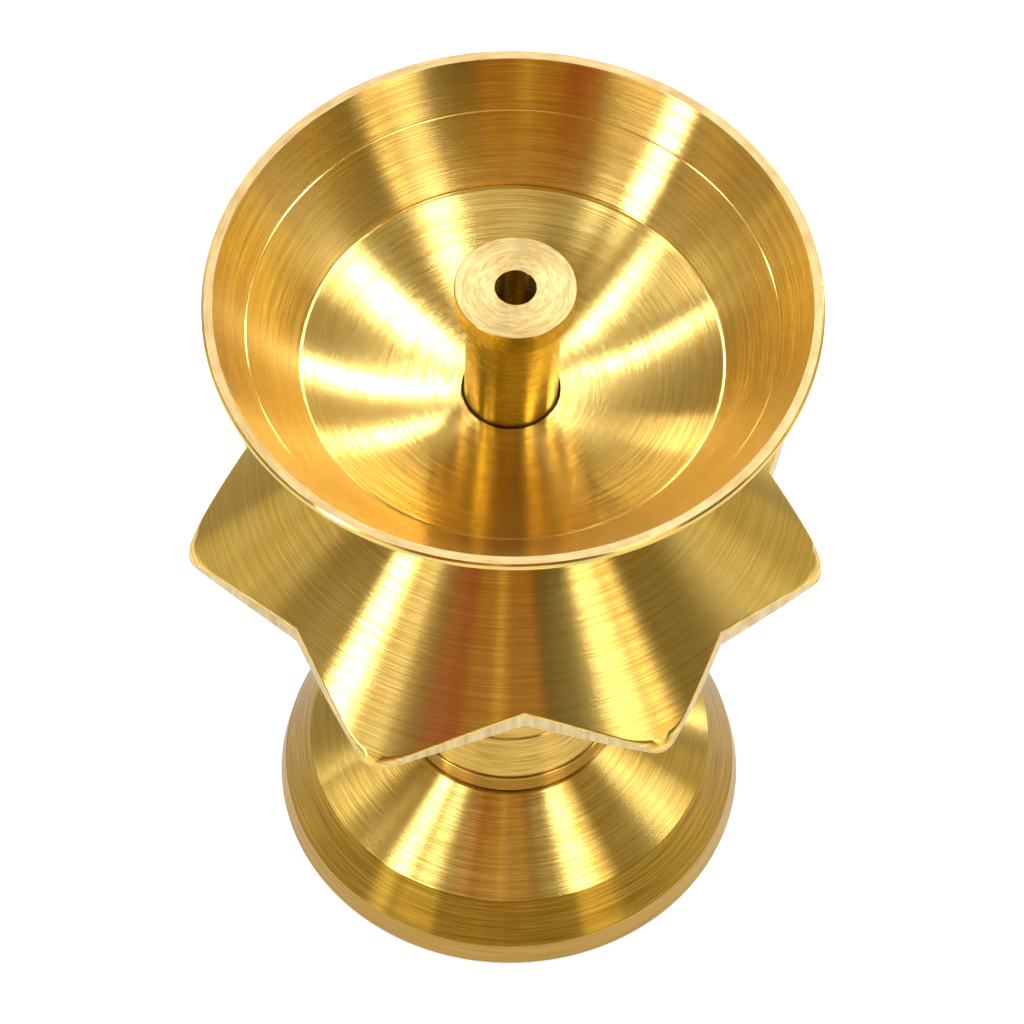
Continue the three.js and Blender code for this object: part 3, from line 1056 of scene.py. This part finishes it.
@dataclass(frozen=True)
class Bowl:
    """The oil bowl: a dished floor and two cones above it, with a line turned at each bend.

    It has a flat lip, a socket for the wick holder and a spigot that takes the rod.
    """

    lean: Lean
    spigot_base: float = low_of("bowl")
    rim: float = high_of("bowl")
    radius: float = 38.0
    lip_width: float = 1.08
    lip_break: float = 0.25
    band_height: float = 0.7
    depth: float = 18.5
    upper_line: tuple[float, float] = (32.71, 5.3)
    lower_line: tuple[float, float] = (26.14, 12.55)
    upper_line_width: float = 0.3
    lower_line_width: float = 0.6
    upper_sag: float = 0.05
    middle_sag: float = 0.2
    floor_power: float = 2.0
    floor_centre: float = 5.8
    dish: tuple[float, float] = (25.6, 7.0)
    dish_rings: int = 28
    wall: float = 1.7
    floor_wall: float = 2.1
    under_radius: float = 20.0
    under_ease: float = 4.0
    seat_radius: float = 14.0
    floor_above_seat: float = 2.15
    spigot_radius: float = 8.0
    rod_engagement: float = 8.0
    socket_radius: float = 6.1
    socket_depth: float = 6.4
    socket_margin: float = 0.4

    def floor_at(self, radius: float) -> float:
        """Height of the floor at a radius: level at the holder, and steeper up to the lower line."""
        share = (radius - self.floor_centre) / (self.lower_line[0] - self.floor_centre)
        return self.rim - self.depth + (self.depth - self.lower_line[1]) * share ** self.floor_power

    def line(self, before: Corner, bend: Corner, after: Corner, width: float) -> list[Corner]:
        """A shallow groove turned into the inside of the bowl at a bend.

        Args:
            before: The corner above the bend.
            bend: The bend itself.
            after: The corner below it.
            width: Width of the groove in millimetres.

        Returns:
            The corners of the groove.
        """
        place = np.array([bend.radius, bend.height])
        up = unit(np.array([before.radius, before.height]) - place)
        down = unit(np.array([after.radius, after.height]) - place)
        into = -unit(up + down)
        depth = 0.3 * width
        corners = (place + up * width / 2, place + into * depth, place + down * width / 2)
        return [Corner(*corner, ease=width / 5) for corner in corners]

    def build(self) -> bpy.types.Object:
        """Builds and dresses the bowl.

        Returns:
            The bowl.
        """
        turned_metal, faced_lip, under_metal = 0, 1, 2
        floor = self.rim - self.depth
        seat = floor - self.floor_above_seat
        rod_hole = self.spigot_base + self.rod_engagement + FITS.gap
        lip_inside = self.radius - self.lip_break - self.lip_width
        lip_edge = Corner(lip_inside, self.rim, ease=0.06, finish=turned_metal)
        upper = Corner(self.upper_line[0], self.rim - self.upper_line[1])
        lower = Corner(self.lower_line[0], self.rim - self.lower_line[1])
        socket_edge = self.socket_radius + self.socket_margin
        socket_floor = floor - self.socket_depth
        dish_radii = np.linspace(*self.dish, self.dish_rings)
        dish = [Corner(radius, self.floor_at(radius), soft=True) for radius in dish_radii]
        seat_top = self.floor_at(self.seat_radius) - self.floor_wall
        under_top = self.floor_at(self.under_radius) - self.floor_wall
        upper_groove = self.line(lip_edge, upper, lower, self.upper_line_width)
        lower_groove = self.line(upper, lower, dish[0], self.lower_line_width)
        corners = [
            Corner(0, rod_hole, finish=under_metal),
            Corner(FITS.rod_bore, rod_hole, finish=under_metal),
            Corner(FITS.rod_bore, self.spigot_base, finish=under_metal),
            Corner(self.spigot_radius, self.spigot_base, ease=0.3, finish=under_metal),
            Corner(self.spigot_radius, seat, finish=under_metal),
            Corner(self.seat_radius, seat, ease=0.4, finish=under_metal),
            Corner(self.seat_radius, seat_top, ease=0.5, finish=under_metal),
            Corner(self.under_radius, under_top, ease=self.under_ease, finish=under_metal),
            Corner(*beside(lower, upper, self.floor_wall), ease=self.under_ease, finish=under_metal),
            Corner(*beside(upper, lip_edge, self.wall), ease=self.under_ease, finish=under_metal),
            Corner(self.radius, self.rim - self.lip_break - self.band_height, ease=0.2, finish=under_metal),
            Corner(self.radius, self.rim - self.lip_break, ease=0.1, finish=turned_metal),
            Corner(self.radius - self.lip_break, self.rim, ease=0.08, finish=faced_lip),
            lip_edge,
            *hollowed(lip_edge, upper_groove[0], self.upper_sag),
            *upper_groove,
            *hollowed(upper_groove[-1], lower_groove[0], self.middle_sag),
            *lower_groove,
            *dish,
            Corner(socket_edge, self.floor_at(socket_edge), shift=self.lean.shift(floor)),
            Corner(self.socket_radius, floor, ease=0.1, shift=self.lean.shift(floor)),
            Corner(self.socket_radius, socket_floor, shift=self.lean.shift(socket_floor)),
            Corner(0, socket_floor, shift=self.lean.shift(socket_floor)),
        ]
        # The inside has the deepest lines, so its streaks break up into many fine rays
        inside = TurnedBrass("bowl_turned_brass", Slope.RISING, lit="#E5C873", deep="#CCA44F",
                             roughness=0.22, depth=0.022)
        # The outside was turned and left, so it looks softer than the inside
        outside = TurnedBrass("bowl_under_turned_brass", Slope.RISING, roughness=0.26)
        # The lip was faced off and rubbed, so it is a pale dry line round the bowl
        lip = SandedBrass("lip_sanded_brass")
        mesh = turned("oil_bowl", corners, 2 * COLUMNS, closed=False)
        return mesh.build([inside.material(), lip.material(), outside.material()])


@dataclass(frozen=True)
class WickHolder:
    """The wick holder: a capped post with a blind hole, turned on its own axis and standing crooked."""

    lean: Lean
    radius: float = 5.8
    height: float = 21.9
    cap_radius: float = 7.5
    cap_thickness: float = 3.3
    hole_radius: float = 2.53
    hole_depth: float = 14.0
    socket_depth: float = 6.4

    def build(self) -> bpy.types.Object:
        """Builds and dresses the wick holder.

        Returns:
            The wick holder.
        """
        side, face = 0, 1
        foot = FITS.gap - self.socket_depth
        cap_base = self.height - self.cap_thickness
        corners = [
            Corner(0, foot),
            Corner(self.radius, foot, ease=0.3),
            Corner(self.radius, cap_base, ease=0.15),
            Corner(self.cap_radius, cap_base, ease=0.2),
            Corner(self.cap_radius, self.height, ease=0.18, finish=face),
            Corner(self.hole_radius, self.height, ease=0.12, finish=side),
            Corner(self.hole_radius, self.height - self.hole_depth),
            Corner(0, self.height - self.hole_depth),
        ]
        # Drawn bar is smoother and yellower than the castings, with shallow lines and upright streaks
        post = TurnedBrass("holder_drawn_brass", Slope.RISING, lit="#D0B04A", deep="#B4922E",
                           roughness=0.24, depth=0.003, waver=0.006, lean=self.lean)
        # The face was cut with a coarse feed, so it looks pale and matt, with rings that can be counted
        top = TurnedBrass("holder_faced_brass", Slope.RISING, lit="#CAB075", deep="#B29458",
                          roughness=0.42, streak=0.5, spacing=0.3, depth=0.010, lean=self.lean)
        mesh = turned("wick_holder_post", corners, COLUMNS // 2, closed=False)
        return mesh.build([post.material(), top.material()], self.lean)


@dataclass(frozen=True)
class Fasteners:
    """The M6 tie rod with its washer and nut, which clamp the stack from under the foot."""

    base: float = low_of("tie_rod")
    top: float = high_of("tie_rod")
    washer_radius: float = widest_of("foot_washer")
    thread_pitch: float = 1.0
    thread_depth: float = 0.45
    thread_turns: int = 8
    thread_crest: tuple[float, float] = (0.45, 0.55)
    thread_start: float = 0.3
    thread_ease: float = 0.05
    rod_faces: int = 64
    washer_faces: int = 96
    across_flats: float = 10.0
    flat_faces: int = 16
    crown_step: float = 0.05
    chamfer_slope: float = math.tan(math.radians(30))

    def rod(self, finish: bpy.types.Material) -> bpy.types.Object:
        """Builds the tie rod, with its thread drawn as rings where it shows.

        Args:
            finish: Its material.

        Returns:
            The rod.
        """
        core = FITS.rod_radius - self.thread_depth
        corners = [Corner(0, self.base), Corner(core, self.base, ease=0.1)]
        for i in range(self.thread_turns):
            foot = self.base + self.thread_start + i * self.thread_pitch
            crest = [foot + share * self.thread_pitch for share in self.thread_crest]
            corners += [
                Corner(FITS.rod_radius, crest[0], ease=self.thread_ease),
                Corner(FITS.rod_radius, crest[1], ease=self.thread_ease),
                Corner(core, foot + self.thread_pitch, ease=self.thread_ease),
            ]
        plain = self.base + self.thread_start + (self.thread_turns + 0.5) * self.thread_pitch
        corners += [
            Corner(FITS.rod_radius, plain, ease=self.thread_ease),
            Corner(FITS.rod_radius, self.top, ease=0.5),
            Corner(0, self.top),
        ]
        return turned("m6_tie_rod", corners, self.rod_faces, closed=False).build([finish])

    def washer(self, finish: bpy.types.Material) -> bpy.types.Object:
        """Builds the washer.

        Args:
            finish: Its material.

        Returns:
            The washer.
        """
        low, high = low_of("foot_washer"), high_of("foot_washer")
        corners = [
            Corner(FITS.rod_bore, low, ease=0.1),
            Corner(self.washer_radius, low, ease=0.25),
            Corner(self.washer_radius, high, ease=0.1),
            Corner(FITS.rod_bore, high, ease=0.1),
        ]
        return turned("m6_washer", corners, self.washer_faces).build([finish])

    def nut(self, finish: bpy.types.Material) -> bpy.types.Object:
        """Builds the hexagon nut, with its corners chamfered by a cone above and below.

        Args:
            finish: Its material.

        Returns:
            The nut.
        """
        low, high = low_of("foot_nut"), high_of("foot_nut")
        numbers = np.arange(6 * self.flat_faces)
        angles = numbers * math.pi / (3 * self.flat_faces)
        azimuth = np.stack([np.cos(angles), np.sin(angles)], axis=1)
        flats = (numbers // self.flat_faces + 0.5) * math.pi / 3
        reach = self.across_flats / 2 / np.cos(angles - flats)
        crown = self.across_flats / 2 - self.crown_step
        fall = (reach - crown) * self.chamfer_slope
        edge = azimuth * reach[:, None]

        mesh = RingMesh("m6_nut")
        mesh.ring(lifted(azimuth * FITS.rod_bore, low))
        mesh.ring(lifted(azimuth * crown, low))
        mesh.ring(lifted(edge, low + fall))
        mesh.ring(lifted(edge, high - fall))
        mesh.ring(lifted(azimuth * crown, high))
        mesh.ring(lifted(azimuth * FITS.rod_bore, high))
        flat_normals = np.stack([np.cos(flats), np.sin(flats), np.zeros(len(flats))], axis=1)
        sides = np.stack([flat_normals, flat_normals], axis=1)
        leans = ((0, -1), (self.chamfer_slope, -1), None, (self.chamfer_slope, 1), (0, 1), (-1, 0))
        bands = [coned(azimuth, *lean) if lean else sides for lean in leans]
        mesh.join([(band, band, 0) for band in bands])
        return mesh.build([finish])


@dataclass(frozen=True)
class Photographer:
    """The camera, placed as the photograph's circles and heights say.

    Attributes:
        distance: From the aimed point, in millimetres.
        elevation: Above the table's level, in degrees.
        aim: The aimed point, in millimetres.
        lens: Focal length in millimetres on a sensor 36 mm wide.
        roll: Turn about the line of sight, in degrees.
    """

    distance: float = 1200.0
    elevation: float = 56.96
    aim: tuple[float, float, float] = (0.085, 0.0, 61.49)
    lens: float = 335.4
    roll: float = 0.527

    def place(self) -> None:
        """Makes the camera the scene's own."""
        data = bpy.data.cameras.new("photo_camera")
        data.sensor_width = 36.0
        data.lens = self.lens
        data.clip_start, data.clip_end = 0.05, 20.0
        camera = add_object("photo_camera", data)
        rise = math.radians(self.elevation)
        back = Vector((0, -math.cos(rise), math.sin(rise)))
        camera.location = (Vector(self.aim) + back * self.distance) * MM
        look = (-back).to_track_quat("-Z", "Y").to_matrix()
        camera.rotation_euler = (look @ Matrix.Rotation(math.radians(self.roll), 3, "Z")).to_euler()
        bpy.context.scene.camera = camera


def from_stand(azimuth: float, elevation: float) -> Vector:
    """The direction of an azimuth and an elevation in degrees, as seen from the stand."""
    turn, rise = math.radians(azimuth), math.radians(elevation)
    return Vector((math.sin(turn) * math.cos(rise), -math.cos(turn) * math.cos(rise), math.sin(rise)))


# The height in metres that the lights are hung round, and the colours that several of them have
BOWL_LEVEL = 0.1
DAYLIGHT = "#E2EAFF"
WARM_LIGHT = "#FFEFCF"
AMBER_LIGHT = "#FFE2A8"


@dataclass(frozen=True)
class Softbox:
    """A rectangular light aimed at the bowl, seen by the metal and not by the camera.

    Attributes:
        name: Its name.
        azimuth: Direction from the stand, in degrees from the front, positive towards +X.
        elevation: Above the table's level, in degrees.
        width: Width in degrees, as the stand sees it.
        height: Height in degrees.
        level: Brightness, where 1 is white.
        colour: Its colour.
        streak: Azimuth of the streak that it draws on turned metal, where its width lies along the lines.
            It hangs upright where this is None.
        distance: How far off it hangs, in metres.
    """

    name: str
    azimuth: float
    elevation: float
    width: float
    height: float
    level: float
    colour: str = "#FFFFFF"
    streak: float | None = None
    distance: float = 1.6

    def hang(self) -> None:
        """Makes the light and hangs it round the bowl."""
        data = bpy.data.lights.new(self.name, "AREA")
        data.shape = "RECTANGLE"
        data.size = 2 * self.distance * math.tan(math.radians(self.width / 2))
        data.size_y = 2 * self.distance * math.tan(math.radians(self.height / 2))
        # A panel of brightness 1 gives pi watts for each square metre
        data.energy = self.level * math.pi * data.size * data.size_y
        data.color = linear(self.colour)[:3]
        light = add_object(self.name, data)
        away = from_stand(self.azimuth, self.elevation)
        light.location = Vector((0, 0, BOWL_LEVEL)) + away * self.distance
        light.rotation_euler = away.to_track_quat("Z", "Y").to_euler()
        if self.streak is not None:
            lines = from_stand(self.streak + 90, 0)
            upwards = away.cross(lines).normalized()
            light.rotation_euler = Matrix((upwards.cross(away), upwards, away)).transposed().to_euler()
        light.visible_camera = False


@dataclass(frozen=True)
class Screen:
    """A bent paper screen that stands round the stand, seen by the metal and not by the camera.

    Attributes:
        name: Its name.
        azimuths: Its left and right edges, in degrees from the front.
        elevations: Its lower and upper edges, in degrees above the table's level.
        colour: The colour that the metal sees.
        distance: How far off it stands, in metres.
        face: Degrees that each face of it takes at most.
    """

    name: str
    azimuths: tuple[float, float]
    elevations: tuple[float, float]
    colour: str
    distance: float = 1.75
    face: float = 6.0

    def stand_up(self) -> None:
        """Makes the screen."""
        across = math.ceil((self.azimuths[1] - self.azimuths[0]) / self.face) + 1
        upwards = math.ceil((self.elevations[1] - self.elevations[0]) / self.face) + 1
        points = [
            from_stand(azimuth, elevation) * self.distance
            for elevation in np.linspace(*self.elevations, upwards)
            for azimuth in np.linspace(*self.azimuths, across)
        ]
        faces = [
            (start, start + 1, start + across + 1, start + across)
            for row in range(upwards - 1)
            for start in range(row * across, row * across + across - 1)
        ]
        mesh = bpy.data.meshes.new(self.name)
        mesh.from_pydata(points, [], faces)
        material = new_material(self.name + "_paper")
        tree = material.node_tree
        glow = add_node(tree, "ShaderNodeEmission", {"Color": linear(self.colour)})
        add_node(tree, "ShaderNodeOutputMaterial", {}, {"Surface": glow.outputs[0]})
        mesh.materials.append(material)
        piece = add_object(self.name, mesh)
        piece.visible_camera = False
        piece.visible_diffuse = False
        piece.visible_shadow = False


@dataclass(frozen=True)
class Studio:
    """A pale floor under a plain white sky, with soft lights and coloured screens round the stand.

    The screens give the metal something darker than the sky to show: a tan room behind and beside it, and
    upright strips on the side of the viewer. The softboxes give it its bright streaks.
    """

    floor_radius: float = 4.0
    floor_colour: str = "#BCBCBC"
    floor_glow: float = 0.5
    lights: tuple[Softbox, ...] = (
        Softbox("window_left", -55, 28, 7, 34, 14.3, DAYLIGHT),
        Softbox("window_left_high", -45, 50, 7, 14, 6.0, DAYLIGHT),
        Softbox("low_left", -38, 6, 15, 11, 2.4, "#FFEBC8"),
        Softbox("low_right", 38, 6, 15, 11, 2.2, "#FFDFA0"),
        Softbox("window_right_low", 37.5, 31, 8, 34, 0.9, AMBER_LIGHT),
        Softbox("window_right_slit", 49, 31, 3, 34, 2.6, AMBER_LIGHT),
        Softbox("window_right_high", 43, 54, 10, 16, 9.0, DAYLIGHT),
        Softbox("side_right", 98, 40, 14, 20, 2.4),
        Softbox("side_left", -97, 38, 14, 18, 2.2),
        Softbox("bowl_left_wide", 123, 60, 7, 34, 16.9, DAYLIGHT, streak=-129),
        Softbox("bowl_left_top", 92, 76, 6, 22, 11.7, DAYLIGHT, streak=-160),
        Softbox("bowl_left_level", 145, 44, 4.0, 46, 20.8, DAYLIGHT, streak=-86),
        Softbox("bowl_left_low", 156, 34, 3.5, 24, 14.3, DAYLIGHT, streak=-60),
        Softbox("bowl_right_top", -120, 65, 3.5, 34, 15.6, DAYLIGHT, streak=139),
        Softbox("bowl_right_level", -134, 51, 2.5, 42, 14.3, DAYLIGHT, streak=110),
        Softbox("bowl_right_low", -148, 22, 9, 12, 4.0, "#FFF4F0", streak=60),
        Softbox("back_warm_right", 156, 12, 18, 20, 2.0, WARM_LIGHT),
        Softbox("back_warm_left", -156, 12, 18, 20, 2.0, WARM_LIGHT),
    )
    screens: tuple[Screen, ...] = (
        Screen("tan_room", (57, 303), (12, 87), "#9C8C60", 1.85),
        Screen("tan_left", (-49.5, -42), (10, 44), "#A98D5A"),
        Screen("brown_left", (-42, -27.5), (12, 51), "#7C6050"),
        Screen("rust", (-27.5, -15.5), (12, 50), "#9C1A0A"),
        Screen("gold_left", (-15.5, -5), (13, 50), "#B07E2C"),
        Screen("pale_slit", (-5, -2), (13, 50), "#FFE08C"),
        Screen("gold_right", (-2, 9), (13, 50), "#A67628"),
        Screen("orange_edge", (9, 11), (13, 50), "#D08434"),
        Screen("rust_low", (-9, 5), (0, 13), "#9C1A0A"),
        Screen("gold_low_left", (-30, -9), (0, 12), "#B58A4A"),
        Screen("gold_low_right", (5, 30), (0, 12), "#A87E40"),
        Screen("olive_front", (11, 32), (12, 51), "#4C4628"),
        Screen("olive_slit", (42.5, 47), (12, 47), "#A8966A"),
        Screen("olive_right", (51, 92), (12, 36), "#6E664C"),
        Screen("dark_low_right", (47, 92), (0, 12), "#5E5238"),
        Screen("olive_far_right", (92, 114), (0, 28), "#C9BF94"),
        Screen("olive_left", (-92, -60), (12, 28), "#746A56"),
        Screen("dark_low_left", (-92, -47), (0, 12), "#5E5238"),
        Screen("olive_far_left", (-112, -92), (0, 26), "#C8BE92"),
        Screen("violet_left", (-82, -64), (28, 56), "#AEA28E"),
        Screen("brown_top", (-24, 20), (51, 64), "#C8A684"),
        Screen("shade_right", (62, 90), (36, 58), "#B8AE90"),
        Screen("shade_back_right", (114, 134), (0, 28), "#8E8474"),
        Screen("shade_back_left", (-134, -112), (0, 28), "#8E8474"),
        Screen("dim_left", (86, 114), (54, 68), "#605A44"),
        Screen("dim_left_low", (122, 141), (32, 50), "#6E6648"),
        Screen("dim_right", (-132, -100), (50, 60), "#706A50"),
        Screen("dim_right_low", (-150, -128), (24, 38), "#847A5A"),
        Screen("dim_top_left", (-80, -30), (70, 82), "#8A826C"),
        Screen("back_shade", (162, 198), (0, 46), "#A08E62"),
    )

    def floor(self) -> None:
        """Lays the floor, which keeps a faint shadow under the white that the camera and the metal see."""
        mesh = bpy.data.meshes.new("studio_floor")
        r = self.floor_radius
        mesh.from_pydata([(-r, -r, 0), (r, -r, 0), (r, r, 0), (-r, r, 0)], [], [(0, 1, 2, 3)])
        material = new_material("matt_white_paper")
        tree = material.node_tree
        rays = add_node(tree, "ShaderNodeLightPath").outputs
        seen = add_node(tree, "ShaderNodeMath", {"operation": "MAXIMUM"},
                        {0: rays["Is Camera Ray"], 1: rays["Is Glossy Ray"]})
        seen = add_node(tree, "ShaderNodeMath", {"operation": "MAXIMUM"},
                        {0: seen.outputs[0], 1: rays["Is Transmission Ray"]})
        glow = add_node(tree, "ShaderNodeMath", {"operation": "MULTIPLY", 1: self.floor_glow},
                        {0: seen.outputs[0]})
        shader = add_node(tree, "ShaderNodeBsdfPrincipled", {
            "Base Color": linear(self.floor_colour),
            "Roughness": 0.9,
            "Specular IOR Level": 0.0,
            "Emission Color": (1, 1, 1, 1),
        }, {"Emission Strength": glow.outputs[0]})
        add_node(tree, "ShaderNodeOutputMaterial", {}, {"Surface": shader.outputs[0]})
        mesh.materials.append(material)
        add_object("studio_floor", mesh)

    def sky(self) -> None:
        """Makes the plain white surroundings."""
        world = bpy.data.worlds.new("white_studio")
        world.use_nodes = True
        tree = world.node_tree
        tree.nodes.clear()
        light = add_node(tree, "ShaderNodeBackground", {"Color": (1, 1, 1, 1), "Strength": 1.0})
        add_node(tree, "ShaderNodeOutputWorld", {}, {"Surface": light.outputs[0]})
        # An even sky needs no map of where its light is
        world.cycles.sampling_method = "NONE"
        bpy.context.scene.world = world

    def set_up(self) -> None:
        """Lays the floor, makes the sky, hangs the lights and stands up the screens."""
        self.floor()
        self.sky()
        for light in self.lights:
            light.hang()
        for screen in self.screens:
            screen.stand_up()


def install(piece: bpy.types.Object, node: str) -> None:
    """Puts a piece on its body in place of its CAD node.

    Args:
        piece: The dressed piece.
        node: The CAD node that it stands for.
    """
    body = "holder" if node == "wick_holder" else "stand"
    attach(piece, body)
    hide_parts(node)
    LOG.info("%s replaces %s on %s: %d faces", piece.name, node, body, len(piece.data.polygons))


def main() -> None:
    """Builds the stand piece by piece, then the camera and the studio."""
    logging.basicConfig(level=logging.INFO, format="%(message)s")
    bpy.context.scene.view_settings.view_transform = "Standard"
    Photographer().place()
    lean = Lean(degrees=1.2, offset=-0.19, height=high_of("bowl") - Bowl.depth)
    install(Foot().build(), "foot")
    install(Stem().build(), "stem")
    install(StarCollar().build(), "star_collar")
    install(Bowl(lean).build(), "bowl")
    install(WickHolder(lean).build(), "wick_holder")
    fasteners = Fasteners()
    zinc = ZincPlatedSteel("zinc_plated_steel").material()
    install(fasteners.rod(zinc), "tie_rod")
    install(fasteners.washer(zinc), "foot_washer")
    install(fasteners.nut(zinc), "foot_nut")
    Studio().set_up()


if __name__ == "__main__":
    main()
